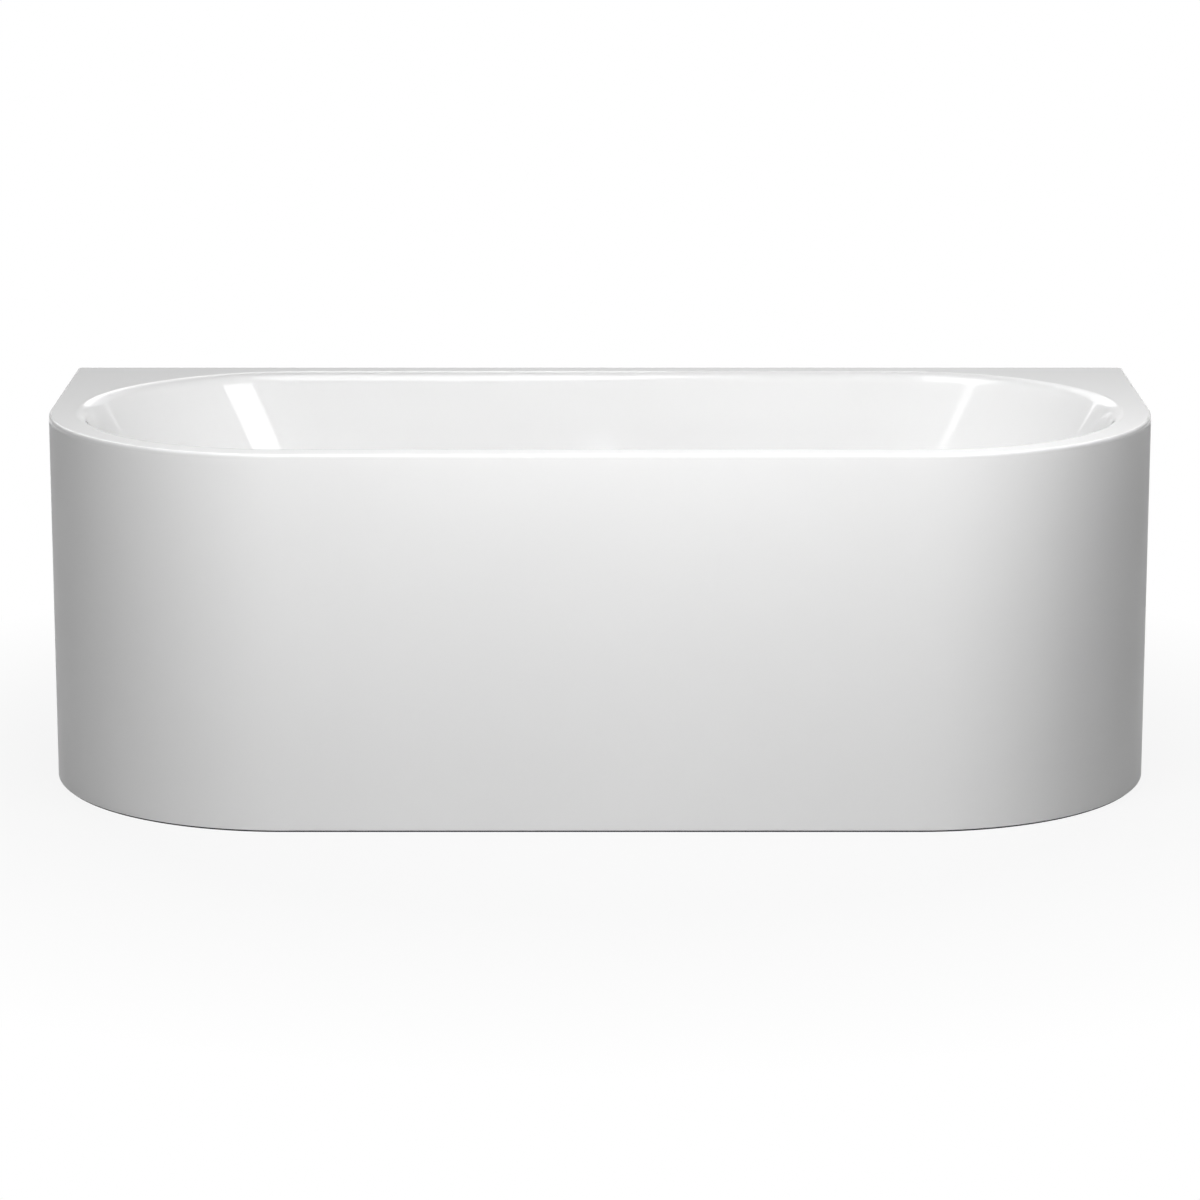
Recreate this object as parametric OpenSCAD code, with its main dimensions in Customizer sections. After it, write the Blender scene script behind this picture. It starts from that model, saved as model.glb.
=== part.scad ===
// Double-ended bathtub for one long wall, with a wrap-around panel, feet, overflow, waste and trap.
// The origin is on the floor of the room, in the middle of the bath. +Z is up, +Y points at the wall.

/* [Overall size] */
// Length of the bath
bath_len = 1700; // [1600:10:1800]
// Depth of the bath from the wall to the front
bath_wid = 750; // [700:10:800]
// Height of the rim above the floor of the room
bath_h = 575; // [550:5:620]
// Radius of the two front corners
corner_r = 375; // [300:5:375]
// Radius of the two corners at the wall
back_r = 6; // [6:1:20]

/* [Rim and basin] */
// Thickness of the moulded shell
shell_t = 5; // [4:0.5:6]
// Flat rim at the two ends
rim_end = 41; // [36:1:50]
// Flat rim at the front
rim_front = 38; // [34:1:50]
// Flat rim on the wall side
rim_back = 35; // [32:1:50]
// Radius of the rounded edge between rim and basin
edge_r = 19; // [14:1:26]
// Radius of the outer edge of the rim
lip_r = 4; // [2:0.5:6]
// Height of the lip that turns down at the outer edge
lip_h = 8; // [7:1:14]
// Height of the basin's floor above the floor of the room
floor_z = 145; // [140:5:175]
// Radius between the basin's walls and its floor
fillet_r = 90; // [60:5:110]
// Lean of the two backrests from the vertical
end_slope = 28; // [20:1:32]
// Lean of the two long walls from the vertical
side_slope = 8; // [5:1:11]
// Half of the short straight stretch in each round end
end_flat = 6; // [2:1:20]

/* [Panel] */
// Thickness of the apron panel
panel_t = 4; // [3:0.5:6]
// Height of the seal under the panel
seal_h = 3; // [2:0.5:6]
// Thickness of the seal
seal_t = 4; // [3:0.5:8]
// How far the seal stands back from the panel's face
seal_inset = 4; // [4:0.5:12]
// Width of the flat track behind the panel's lower edge
track_w = 30; // [20:1:40]
// Thickness of the flat track
track_t = 5; // [3:0.5:8]

/* [Rim fixings] */
// Width of a timber batten
batten_w = 28; // [20:1:32]
// Height of a timber batten
batten_h = 15; // [12:1:20]
// Length of the front and back battens
batten_len = 860; // [840:10:940]
// Length of the battens at the ends
batten_end_len = 300; // [260:10:320]
// Thickness of the clips and the anchors
plate_t = 2.5; // [2:0.5:4]
// Width of a panel clip
clip_w = 30; // [20:1:40]
// Height of a panel clip
clip_h = 40; // [35:1:60]
// Depth of the hook at a clip's lower edge
clip_hook = 8; // [5:1:10]
// Distance between the outer clips at the front
clip_pitch = 800; // [700:10:820]
// Distance between the inner clips at the front
clip_inner_pitch = 300; // [260:10:400]
// Distance between the two clips at an end
clip_end_pitch = 200; // [160:10:220]
// Radius of a wood screw
screw_r = 2; // [1.5:0.25:2.5]
// Radius of a wood screw's countersunk head
screw_head_r = 4; // [3.5:0.25:5]
// Depth of a wood screw in the timber
screw_depth = 11; // [8:0.5:11.5]
// Width of a wall anchor
anchor_w = 60; // [50:1:80]
// Height of a wall anchor
anchor_h = 60; // [45:1:80]
// Reach of a wall anchor under the batten
anchor_reach = 32; // [26:1:36]
// Distance between the outer wall anchors
anchor_pitch = 740; // [700:10:760]
// Distance between the inner wall anchors
anchor_inner_pitch = 260; // [200:10:300]
// Distance between an anchor's two holes
anchor_hole_pitch = 34; // [28:1:40]
// Radius of an anchor's holes
anchor_hole_r = 3.5; // [2.5:0.25:4.5]

/* [Base and feet] */
// Thickness of the base board
board_t = 15; // [12:1:18]
// How far the board stays inside the flat floor
board_edge = 6; // [2:1:20]
// Radius of the board's cut-out round the waste
notch_r = 60; // [50:1:75]
// Width of a foot rail
rail_w = 40; // [30:1:50]
// Height of a foot rail
rail_h = 30; // [30:1:34]
// Wall of a foot rail
rail_wall = 2; // [1.5:0.5:3]
// Length of a foot rail
rail_len = 460; // [420:10:500]
// Distance between the two foot rails
foot_pitch_x = 700; // [560:10:780]
// Distance between the two feet of a rail
foot_pitch_y = 380; // [350:10:400]
// Distance between the outer screws of a rail
rail_screw_pitch = 240; // [200:10:270]
// Distance between the inner screws of a rail
rail_screw_inner_pitch = 120; // [80:10:160]
// Radius of a rail screw's head
rail_head_r = 5; // [4:0.5:6]
// Height of a rail screw's head
rail_head_h = 2.5; // [2:0.5:4]
// Radius of the hole that lets a screwdriver reach a rail screw
driver_r = 7; // [6.5:0.5:9]
// Radius of a foot's threaded rod
rod_r = 5; // [4:0.5:6]
// Height of a foot's rod above the underside of its rail
rod_top = 17; // [14:1:17]
// Radius of a foot pad at the floor
pad_r = 25; // [20:1:35]
// Radius of a foot pad at its top
pad_top_r = 19; // [14:1:20]
// Height of a foot pad
pad_h = 14; // [12:1:18]
// Thickness of a foot pad under its rod
pad_floor = 6; // [4:0.5:8]
// Height of the six-sided collar on a rod
collar_h = 8; // [5:1:12]
// Gap between a rod's collar and its pad
collar_gap = 4; // [2:0.5:8]
// Radius over the corners of nuts and collars
hex_r = 9.8; // [9:0.1:12]
// Height of the nut fixed under a rail
rail_nut_h = 10; // [8:1:12]
// Height of a lock nut
lock_nut_h = 6; // [4:1:8]

/* [Overflow] */
// Distance of the overflow below the rim
overflow_drop = 65; // [60:1:90]
// Radius of the overflow's hole in the shell
overflow_hole_r = 26; // [24:0.5:28]
// Radius of the overflow's cover
cover_r = 36; // [33:0.5:40]
// Thickness of the overflow's cover
cover_t = 4; // [3:0.5:6]
// Gap behind the cover where the water enters
cover_gap = 8; // [5:0.5:12]
// Radius of the ring's flange inside the basin
ring_r = 31; // [30:0.5:33]
// Thickness of the ring's flange
ring_t = 2; // [1.5:0.5:3]
// Wall of the ring's neck
ring_wall = 3; // [2:0.5:4]
// Radius of the overflow body's flange
body_flange_r = 34; // [31:0.5:36]
// Thickness of the overflow body's flange
body_flange_t = 4; // [3:0.5:6]
// Radius of the overflow body's cup
cup_r = 29; // [28:0.5:30]
// Wall of the overflow body's cup
cup_wall = 3; // [2:0.5:4]
// Length of the overflow body behind its gasket
cup_len = 33; // [32:0.5:36]
// Radius of the overflow's screw
overflow_screw_r = 3; // [2:0.25:3.5]
// Radius of the head of the overflow's screw
overflow_head_r = 6; // [5:0.25:7]
// Height of the head of the overflow's screw
overflow_head_h = 2; // [1.5:0.5:3]
// Wall round the overflow's screw
hub_wall = 3.5; // [2:0.5:5]

/* [Pipes] */
// Outer radius of the pipes
pipe_r = 20; // [18:0.5:20.5]
// Wall of the pipes
pipe_wall = 2.5; // [2:0.5:4]
// Radius of the overflow pipe's bend, at its centre line
bend_r = 50; // [40:1:70]
// Length of the overflow body's spigot below the cup's axis
spigot_len = 46; // [42:1:60]
// Length of a pipe nut
pipe_nut_len = 12; // [8:1:12]
// Radius over the corners of a pipe nut
pipe_nut_r = 25; // [24:0.5:26]
// Sides of a pipe nut
pipe_nut_sides = 8; // [6:1:12]
// Length of the outlet pipe
outlet_len = 180; // [120:5:220]
// Length of the outlet pipe's end that goes into the next pipe
outlet_end_len = 50; // [40:5:60]
// Radius of the collar where the next pipe stops
outlet_collar_r = 23; // [22:0.5:26]
// Length of that collar
outlet_collar_len = 4; // [3:0.5:8]

/* [Waste and plug] */
// Radius of the waste's hole in the floor
waste_hole_r = 26; // [25:0.5:30]
// Radius of the waste flange
waste_flange_r = 35; // [32:0.5:40]
// Thickness of the waste flange
waste_flange_t = 3; // [2:0.5:5]
// Outer radius of the flange's neck
neck_r = 24; // [22:0.5:24.5]
// Wall of the flange's neck
neck_wall = 3; // [2:0.5:4]
// Length of the flange's neck below the flange
neck_len = 22; // [20:1:26]
// Thickness of the arms that hold the cartridge
arm_t = 5; // [3:0.5:7]
// Width of the arms that hold the cartridge
arm_w = 4; // [2:0.5:6]
// Thickness of the upper waste gasket
upper_gasket_t = 1.5; // [1:0.5:3]
// Thickness of the lower waste gasket and the overflow gasket
lower_gasket_t = 3; // [2:0.5:4]
// Outer radius of the waste body
waste_body_r = 38; // [36:0.5:44]
// Wall of the waste body
waste_body_wall = 4; // [3:0.5:5]
// Height of the waste body
waste_body_h = 43; // [42:0.5:44]
// Distance from the waste's axis to the end of its inlet
inlet_reach = 70; // [60:1:90]
// Radius of the plug's cap
cap_r = 33; // [31:0.5:36]
// Height of the plug's cap
cap_h = 6; // [5:0.5:8]
// Height of the cap's upright edge
cap_edge_h = 2; // [1:0.5:3]
// Thickness of the plug's seal
plug_seal_t = 2; // [1.5:0.5:3]
// Outer radius of the plug's seal
plug_seal_r = 30; // [28:0.5:30.5]
// Radius of the plug's stem
stem_r = 3; // [2:0.25:4]
// Length of the plug's stem below the cap
stem_len = 38; // [34:1:40]
// Outer radius of the plug's cartridge
cartridge_r = 7; // [6:0.25:8]
// Length of the plug's cartridge
cartridge_len = 38; // [34:1:38]
// Height of the cartridge above the arms
cartridge_rise = 11; // [6:1:12]
// Thickness of the cartridge's floor
cartridge_floor = 3; // [2:0.5:4]

/* [Trap] */
// Outer radius of the trap
trap_r = 45; // [42:0.5:55]
// Wall of the trap
trap_wall = 3; // [2:0.5:3]
// Height of the trap's underside above the floor of the room
trap_lift = 8; // [6:0.5:10]
// Distance between the trap's top and the waste body
trap_gap = 14; // [13:0.5:16]
// Distance between the dip tube's end and the trap's floor
dip_gap = 9; // [7:0.5:14]
// Distance from the trap's axis to the end of its outlet
trap_reach = 64; // [60:1:80]
// Radius of the trap's cleaning hole
clean_r = 25; // [20:0.5:28]
// Radius of the trap cap's flange
trap_cap_r = 30; // [29:0.5:36]
// Thickness of the trap cap's flange
trap_cap_t = 4; // [2:0.5:4.5]

/* [Hidden] */
$fn = 64;
// Clearance of a part that turns or slides in a hole
run_fit = 0.05;
// Clearance of a part that is fixed in a hole
fixed_fit = 0.1;
// How far a cut runs past the face it goes through
cut = 1;
// Gap between two faces that meet and part again
seat_gap = 0.3;
// Least radius of a corner that is drawn in
least_r = 0.5;
// How far a gasket stays inside the flange beside it
gasket_margin = 1;
// Directions of the three arms of the overflow ring and of the waste flange
arm_turns = [30, 150, 270];
// Steps in each quarter of an outline, a wall fillet, the rim's edge and the lip
corner_steps = 20;
fillet_steps = 7;
edge_steps = 4;
lip_steps = 3;

// The basin's opening in the rim
open_half_l = bath_len / 2 - rim_end;
open_half_w = (bath_wid - rim_front - rim_back) / 2;
open_y = (rim_front - rim_back) / 2;
basin_depth = bath_h - floor_z;
shell_under_z = floor_z - shell_t;
rim_under_z = bath_h - shell_t;
// Height where the wall's two formulas give the same place
wall_mid_z = floor_z + basin_depth / 2;
corner_x = bath_len / 2 - corner_r;
corner_y = corner_r - bath_wid / 2;

// Heights of the pieces under the rim and under the floor
panel_top_z = bath_h - lip_h;
batten_z = rim_under_z - batten_h;
batten_inset = max(panel_t + plate_t, shell_t + seat_gap);
clip_z = panel_top_z - clip_h;
board_z = shell_under_z - board_t;
rail_z = board_z - rail_h;
board_half_l = floor_half(open_half_l, end_slope) - board_edge;
board_half_w = floor_half(open_half_w, side_slope) - board_edge;
end_batten_x = bath_len / 2 - batten_inset - batten_w / 2;
end_batten_y = corner_y + (batten_end_len + batten_w) / 2;

// Places of the overflow
overflow_z = bath_h - overflow_drop;
overflow_y = open_y - half_at(overflow_z, open_half_w, side_slope, 0);
cup_open = -(shell_t + lower_gasket_t);
cup_end = cup_open - cup_len;
cup_axis = cup_open - cup_len / 2 - body_flange_t / 2;
spigot_y = overflow_y + cup_axis * cos(side_slope);
spigot_z = overflow_z + cup_axis * sin(side_slope);
pipe_top_z = spigot_z - spigot_len;
hub_r = overflow_screw_r + hub_wall;

// Heights of the waste and the trap
flange_z = floor_z + upper_gasket_t;
flange_top_z = flange_z + waste_flange_t;
arm_z = flange_z - neck_len;
waste_top_z = shell_under_z - lower_gasket_t;
waste_z = waste_top_z - waste_body_h;
inlet_z = waste_z + waste_body_h / 2;
plug_seal_z = flange_top_z + seat_gap;
cap_z = plug_seal_z + plug_seal_t;
cartridge_z = arm_z + arm_t + cartridge_rise - cartridge_len;
trap_top_z = waste_z - trap_gap;
trap_h = trap_top_z - trap_lift;
outlet_z = trap_top_z - trap_wall - pipe_r;

// How far a face stands out at a height above its foot: first the rounding, then the leaning wall
function wall_out(h, r, slope) =
    h < r * (1 - sin(slope))
    ? sqrt(max(0, r * r - (r - h) * (r - h)))
    : r * cos(slope) + (h - r * (1 - sin(slope))) * tan(slope);

// Half of the flat floor that lies under half of the opening
function floor_half(half_open, slope) =
    half_open - (edge_r + fillet_r) * cos(slope)
    - (basin_depth - (edge_r + fillet_r) * (1 - sin(slope))) * tan(slope);

// Half of the basin at a height, on a face that lies off behind the inner one
function half_at(z, half_open, slope, off) =
    z > wall_mid_z
    ? half_open - wall_out(bath_h - off - z, edge_r - off, slope)
    : floor_half(half_open, slope) + wall_out(z - floor_z + off, fillet_r + off, slope);

function arc(x, y, r, from) = [for (i = [0 : corner_steps])
    let (a = from + 90 * i / corner_steps)
    [x + r * cos(a), y + r * sin(a)]];

function at_height(outline, z) = [for (p = outline) [p.x, p.y, z]];

// A closed outline with two front corners of one radius and two back corners of another
function outline(half_l, front, back, front_r, rear_r) = concat(
    arc(half_l - front_r, front + front_r, front_r, -90),
    arc(half_l - rear_r, back - rear_r, rear_r, 0),
    arc(rear_r - half_l, back - rear_r, rear_r, 90),
    arc(front_r - half_l, front + front_r, front_r, 180)
);

function basin_ring(z, off) =
    let (half_l = half_at(z, open_half_l, end_slope, off))
    let (half_w = half_at(z, open_half_w, side_slope, off))
    let (r = half_w - end_flat)
    at_height(outline(half_l, open_y - half_w, open_y + half_w, r, r), z);

function rim_ring(z, inset) = at_height(
    outline(
        bath_len / 2 - inset,
        inset - bath_wid / 2,
        bath_wid / 2 - inset,
        corner_r - inset,
        max(back_r - inset, least_r)
    ), z);

function step_angle(i, steps) = (90 - side_slope) * i / steps;
function fillet_z(i, off) =
    floor_z - off + (fillet_r + off) * (1 - cos(step_angle(i, fillet_steps)));
function edge_z(i, off) =
    bath_h - off - (edge_r - off) * (1 - cos(step_angle(i, edge_steps)));

// The shell's section, from the middle of the floor over the rim and back under the floor
shell_rings = concat(
    [for (i = [0 : fillet_steps]) basin_ring(fillet_z(i, 0), 0)],
    [for (i = [edge_steps : -1 : 0]) basin_ring(edge_z(i, 0), 0)],
    [for (i = [0 : lip_steps])
        rim_ring(bath_h - lip_r * (1 - cos(90 * i / lip_steps)), lip_r * (1 - sin(90 * i / lip_steps)))],
    [rim_ring(panel_top_z, 0), rim_ring(panel_top_z, shell_t), rim_ring(rim_under_z, shell_t)],
    [for (i = [0 : edge_steps]) basin_ring(edge_z(i, shell_t), shell_t)],
    [for (i = [fillet_steps : -1 : 0]) basin_ring(fillet_z(i, shell_t), shell_t)]
);

// Solid between the rings, closed by the first and the last one
module loft(rings) {
    count = len(rings[0]);
    last = len(rings) - 1;
    points = [for (ring = rings) each ring];
    sides = [for (k = [0 : last - 1], i = [0 : count - 1])
        let (a = k * count + i)
        let (b = k * count + (i + 1) % count)
        each [[a, b, b + count], [a, b + count, a + count]]];
    start_cap = [for (i = [count - 1 : -1 : 0]) i];
    end_cap = [for (i = [0 : count - 1]) last * count + i];
    polyhedron(points, concat(sides, [start_cap, end_cap]));
}

module tube(r, wall, h) {
    difference() {
        cylinder(r = r, h = h);
        translate([0, 0, -cut]) cylinder(r = r - wall, h = h + 2 * cut);
    }
}

// Plan of the bath, drawn in from its face, and past the wall by a given amount
module plan(inset, past = 0) {
    half_l = bath_len / 2 - inset;
    front = bath_wid / 2 - inset;
    translate([-half_l, corner_y]) square([2 * half_l, bath_wid / 2 - corner_y + past]);
    translate([-corner_x, -front]) square([2 * corner_x, front + bath_wid / 2 + past]);
    intersection() {
        for (side = [-1, 1])
            translate([side * corner_x, corner_y]) circle(r = corner_r - inset, $fn = 4 * corner_steps);
        translate([-half_l, -front]) square([2 * half_l, front + bath_wid / 2 + past]);
    }
}

// Upright band that follows the front and the ends, open at the wall
module band(inset, t, h) {
    linear_extrude(h) difference() {
        plan(inset);
        plan(inset + t, cut);
    }
}

// Local frame of the overflow: the origin is on the basin's face and +Z points into the basin
module at_overflow() {
    translate([0, overflow_y, overflow_z]) rotate([side_slope - 90, 0, 0]) children();
}

// Along +Y from the given place
module along_y(x, y, z) {
    translate([x, y, z]) rotate([-90, 0, 0]) children();
}

// Place of a clip: the origin is on the panel's inner face, and +X points into the bath
module at_clips() {
    for (x = [-clip_pitch / 2, -clip_inner_pitch / 2, clip_inner_pitch / 2, clip_pitch / 2])
        translate([x, panel_t - bath_wid / 2, clip_z]) rotate(90) children();
    for (side = [-1, 1], y = [-clip_end_pitch / 2, clip_end_pitch / 2])
        translate([side * (bath_len / 2 - panel_t), end_batten_y + y, clip_z])
            rotate(side > 0 ? 180 : 0) children();
}

module at_anchors() {
    for (x = [-anchor_pitch / 2, -anchor_inner_pitch / 2, anchor_inner_pitch / 2, anchor_pitch / 2])
        translate([x, bath_wid / 2, batten_z]) children();
}

module at_feet() {
    for (x = [-1, 1], y = [-1, 1])
        translate([x * foot_pitch_x / 2, y * foot_pitch_y / 2, 0]) children();
}

module at_rail_screws() {
    for (x = [-1, 1], y = [-1, 1], pitch = [rail_screw_pitch, rail_screw_inner_pitch])
        translate([x * foot_pitch_x / 2, y * pitch / 2, 0]) children();
}

// Countersunk wood screw along +X, its head flush with the origin
module wood_screw() {
    rotate([0, 90, 0]) {
        cylinder(r1 = screw_head_r, r2 = screw_r, h = plate_t);
        translate([0, 0, plate_t]) cylinder(r = screw_r, h = screw_depth);
    }
}

module clip_screw() {
    translate([0, 0, batten_z + batten_h / 2 - clip_z]) wood_screw();
}

// The anchor's screw goes up through its shelf
module anchor_screw() {
    translate([0, -(batten_inset + batten_w / 2), -plate_t]) rotate([0, -90, 0]) wood_screw();
}

module rail_screw() {
    translate([0, 0, board_z - rail_wall - rail_head_h]) cylinder(r = rail_head_r, h = rail_head_h);
    translate([0, 0, board_z - rail_wall]) cylinder(r = screw_r, h = rail_wall + screw_depth);
}

module hex_nut(h) {
    difference() {
        cylinder(r = hex_r, h = h, $fn = 6);
        translate([0, 0, -cut]) cylinder(r = rod_r + run_fit, h = h + 2 * cut);
    }
}

module tub_shell() {
    color("white") difference() {
        loft(shell_rings);
        translate([0, 0, shell_under_z - cut]) cylinder(r = waste_hole_r, h = shell_t + 2 * cut);
        at_overflow() translate([0, 0, -shell_t - cut]) cylinder(r = overflow_hole_r, h = shell_t + 2 * cut);
    }
}

module apron_panel() {
    color("whitesmoke") translate([0, 0, seal_h]) band(0, panel_t, panel_top_z - seal_h);
}

module base_seal() {
    color("dimgray") band(seal_inset, seal_t, seal_h);
}

module panel_frame() {
    color("silver") translate([0, 0, seal_h]) band(panel_t, track_w, track_t);
}

module rim_battens() {
    color("burlywood") difference() {
        union() {
            for (y = [batten_inset - bath_wid / 2, bath_wid / 2 - batten_inset - batten_w])
                translate([-batten_len / 2, y, batten_z]) cube([batten_len, batten_w, batten_h]);
            for (side = [-1, 1])
                translate([side * end_batten_x, end_batten_y, batten_z + batten_h / 2])
                    cube([batten_w, batten_end_len, batten_h], center = true);
        }
        at_clips() clip_screw();
        at_anchors() anchor_screw();
    }
}

module panel_clips() {
    color("lightgray") at_clips() difference() {
        translate([0, -clip_w / 2, 0]) union() {
            cube([plate_t, clip_w, clip_h]);
            cube([plate_t + clip_hook, clip_w, plate_t]);
        }
        clip_screw();
    }
}

module batten_screws() {
    color("goldenrod") {
        at_clips() clip_screw();
        at_anchors() anchor_screw();
    }
}

module wall_anchors() {
    color("lightgray") at_anchors() difference() {
        union() {
            translate([-anchor_w / 2, -plate_t, -anchor_h]) cube([anchor_w, plate_t, anchor_h]);
            translate([-anchor_w / 2, -anchor_reach, -plate_t]) cube([anchor_w, anchor_reach, plate_t]);
        }
        for (side = [-1, 1])
            along_y(side * anchor_hole_pitch / 2, -plate_t - cut, -anchor_h / 2)
                cylinder(r = anchor_hole_r, h = plate_t + 2 * cut);
        anchor_screw();
    }
}

module base_board() {
    round_x = board_half_l - board_half_w;
    color("peru") difference() {
        translate([0, open_y, board_z]) linear_extrude(board_t) {
            square([2 * round_x, 2 * board_half_w], center = true);
            for (side = [-1, 1])
                translate([side * round_x, 0]) circle(r = board_half_w);
        }
        translate([0, 0, board_z - cut]) cylinder(r = notch_r, h = board_t + 2 * cut);
        translate([-notch_r, -bath_wid / 2, board_z - cut])
            cube([2 * notch_r, bath_wid / 2, board_t + 2 * cut]);
        at_rail_screws() rail_screw();
    }
}

module foot_rails() {
    color("silver") difference() {
        for (side = [-1, 1])
            translate([side * foot_pitch_x / 2, 0, rail_z + rail_h / 2]) difference() {
                cube([rail_w, rail_len, rail_h], center = true);
                cube([rail_w - 2 * rail_wall, rail_len + 2 * cut, rail_h - 2 * rail_wall], center = true);
            }
        at_feet() translate([0, 0, rail_z - cut]) cylinder(r = rod_r + run_fit, h = rail_wall + 2 * cut);
        at_rail_screws() rail_screw();
        at_rail_screws() translate([0, 0, rail_z - cut]) cylinder(r = driver_r, h = rail_wall + 2 * cut);
    }
}

module rail_screws() {
    color("goldenrod") at_rail_screws() rail_screw();
}

module rail_nuts() {
    color("gray") at_feet() translate([0, 0, rail_z - rail_nut_h]) hex_nut(rail_nut_h);
}

module lock_nuts() {
    color("darkgray") at_feet()
        translate([0, 0, rail_z - rail_nut_h - lock_nut_h]) hex_nut(lock_nut_h);
}

// One foot's rod or pad, with side and end each -1 or 1
module foot_rod(side, end) {
    color("gainsboro") translate([side * foot_pitch_x / 2, end * foot_pitch_y / 2, 0]) {
        translate([0, 0, pad_floor]) cylinder(r = rod_r, h = rail_z + rod_top - pad_floor);
        translate([0, 0, pad_h + collar_gap]) cylinder(r = hex_r, h = collar_h, $fn = 6);
    }
}

module foot_pad(side, end) {
    color("dimgray") translate([side * foot_pitch_x / 2, end * foot_pitch_y / 2, 0]) difference() {
        cylinder(r1 = pad_r, r2 = pad_top_r, h = pad_h);
        translate([0, 0, pad_floor]) cylinder(r = rod_r + run_fit, h = pad_h);
    }
}

module overflow_cover() {
    color("silver") at_overflow() translate([0, 0, cover_gap]) difference() {
        cylinder(r = cover_r, h = cover_t);
        translate([0, 0, -cut]) cylinder(r = overflow_screw_r + fixed_fit, h = cover_t + 2 * cut);
    }
}

module overflow_screw() {
    color("gainsboro") at_overflow() {
        translate([0, 0, cup_end + cup_wall])
            cylinder(r = overflow_screw_r, h = cover_gap + cover_t - cup_end - cup_wall);
        translate([0, 0, cover_gap + cover_t]) cylinder(r = overflow_head_r, h = overflow_head_h);
    }
}

// Ring in the shell's hole, with three arms and a hub that carries the cover
module overflow_ring() {
    neck = overflow_hole_r - fixed_fit;
    color("silver") at_overflow() difference() {
        union() {
            difference() {
                union() {
                    cylinder(r = ring_r, h = ring_t);
                    translate([0, 0, cup_open]) cylinder(r = neck, h = ring_t - cup_open);
                }
                translate([0, 0, cup_open - cut])
                    cylinder(r = neck - ring_wall, h = ring_t - cup_open + 2 * cut);
            }
            for (turn = arm_turns)
                rotate(turn) translate([0, -arm_w / 2, cup_open]) cube([neck - ring_wall / 2, arm_w, arm_t]);
            translate([0, 0, cup_open]) cylinder(r = hub_r, h = cover_gap - cup_open);
        }
        translate([0, 0, cup_open - cut])
            cylinder(r = overflow_screw_r + fixed_fit, h = cover_gap - cup_open + 2 * cut);
    }
}

module overflow_gasket() {
    color("dimgray") at_overflow() translate([0, 0, cup_open])
        tube(body_flange_r, body_flange_r - overflow_hole_r, lower_gasket_t);
}

module overflow_body() {
    bore = cup_r - cup_wall;
    color("lightgray") difference() {
        union() {
            difference() {
                union() {
                    at_overflow() translate([0, 0, cup_end]) cylinder(r = cup_r, h = cup_len);
                    at_overflow() translate([0, 0, cup_open - body_flange_t])
                        cylinder(r = body_flange_r, h = body_flange_t);
                    translate([0, spigot_y, pipe_top_z])
                        cylinder(r = min(pipe_r, cup_len / 2), h = spigot_len - cup_r / 2);
                }
                at_overflow() translate([0, 0, cup_end + cup_wall]) cylinder(r = bore, h = cup_len);
            }
            at_overflow() translate([0, 0, cup_end]) cylinder(r = hub_r, h = cup_len / 2);
        }
        at_overflow() translate([0, 0, cup_end + cup_wall]) cylinder(r = overflow_screw_r, h = cup_len);
        translate([0, spigot_y, pipe_top_z - cut])
            cylinder(r = min(pipe_r, cup_len / 2) - pipe_wall, h = spigot_len - cup_r / 2);
    }
}

// From the overflow straight down, round one bend and level to the waste
module overflow_pipe() {
    level_y = spigot_y + bend_r;
    color("whitesmoke") {
        translate([0, spigot_y, inlet_z + bend_r]) tube(pipe_r, pipe_wall, pipe_top_z - inlet_z - bend_r);
        translate([0, level_y, inlet_z + bend_r]) rotate([90, 0, 90]) rotate([0, 0, 180])
            rotate_extrude(angle = 90) translate([bend_r, 0]) difference() {
                circle(r = pipe_r);
                circle(r = pipe_r - pipe_wall);
            }
        along_y(0, level_y, inlet_z) tube(pipe_r, pipe_wall, -inlet_reach - level_y);
    }
}

// Coupling nut, centred on the joint of two pipes, one of its flats up or to the wall
module pipe_nut() {
    translate([0, 0, -pipe_nut_len / 2]) difference() {
        rotate(180 / pipe_nut_sides) cylinder(r = pipe_nut_r, h = pipe_nut_len, $fn = pipe_nut_sides);
        translate([0, 0, -cut]) cylinder(r = pipe_r + fixed_fit, h = pipe_nut_len + 2 * cut);
    }
}

module pipe_nuts() {
    color("gray") {
        translate([0, spigot_y, pipe_top_z]) pipe_nut();
        along_y(0, -inlet_reach, inlet_z) pipe_nut();
        translate([0, 0, waste_z - trap_gap / 2]) pipe_nut();
        along_y(0, trap_reach, outlet_z) pipe_nut();
    }
}

module waste_flange() {
    bore = neck_r - neck_wall;
    color("silver") difference() {
        union() {
            difference() {
                union() {
                    translate([0, 0, flange_z]) cylinder(r = waste_flange_r, h = waste_flange_t);
                    translate([0, 0, arm_z]) cylinder(r = neck_r, h = neck_len + waste_flange_t);
                }
                translate([0, 0, arm_z - cut]) cylinder(r = bore, h = neck_len + waste_flange_t + 2 * cut);
            }
            for (turn = arm_turns)
                rotate(turn) translate([0, -arm_w / 2, arm_z]) cube([neck_r - neck_wall / 2, arm_w, arm_t]);
            translate([0, 0, arm_z]) cylinder(r = cartridge_r + hub_wall, h = arm_t);
        }
        translate([0, 0, arm_z - cut]) cylinder(r = cartridge_r, h = arm_t + 2 * cut);
    }
}

module upper_waste_gasket() {
    color("dimgray") translate([0, 0, floor_z])
        tube(waste_flange_r - gasket_margin, waste_flange_r - gasket_margin - waste_hole_r, upper_gasket_t);
}

module lower_waste_gasket() {
    color("dimgray") translate([0, 0, waste_top_z])
        tube(waste_body_r - gasket_margin, waste_body_r - gasket_margin - waste_hole_r, lower_gasket_t);
}

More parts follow.
